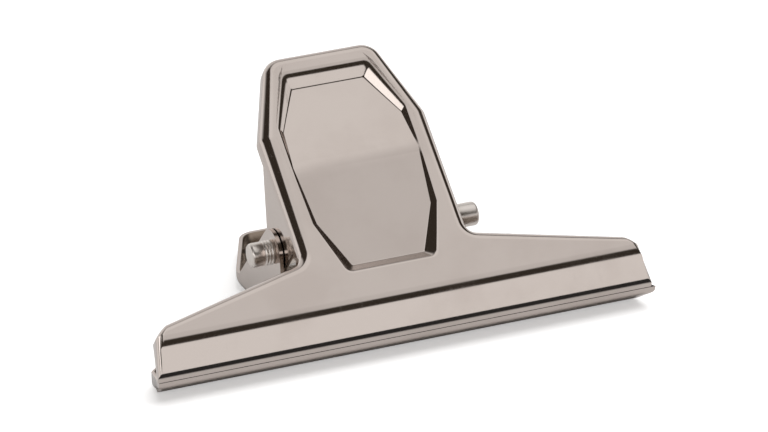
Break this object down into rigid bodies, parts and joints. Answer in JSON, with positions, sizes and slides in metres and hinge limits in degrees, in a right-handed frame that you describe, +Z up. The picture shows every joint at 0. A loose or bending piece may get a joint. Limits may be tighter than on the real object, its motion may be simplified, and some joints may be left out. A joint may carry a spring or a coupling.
{
  "type": "spring letter clip",
  "caption": "Sprung letter clip of pressed steel plates with wide jaws and pinch handles, hinged on a through pin by side ears.",
  "frame": {"origin": "on the surface that the clip lies on, below the middle of its bounding box", "axes": "+X along the jaws, +Y from the jaws towards the handles, +Z up, away from the rear plate's flat face"},
  "size_m": [0.1274, 0.0744, 0.0581],
  "materials": {
    "plate": "bright nickel plate",
    "pin": "bright nickel plate, turned",
    "spring": "drawn spring wire, nickel plated"
  },
  "bodies": {
    "rear": {"rear_plate": "plate", "pivot_pin": "pin", "torsion_spring": "spring"},
    "front": {"front_plate": "plate"}
  },
  "joints": [
    {"name": "jaw_hinge", "type": "hinge", "parent": "rear", "child": "front", "pos_m": [0, -0.00759, 0.01985], "axis": [-1, 0, 0], "range_deg": [0, 75], "stiffness_Nm_per_rad": 0.6, "springref_deg": -68.75, "deforming": ["torsion_spring"]}
  ]
}
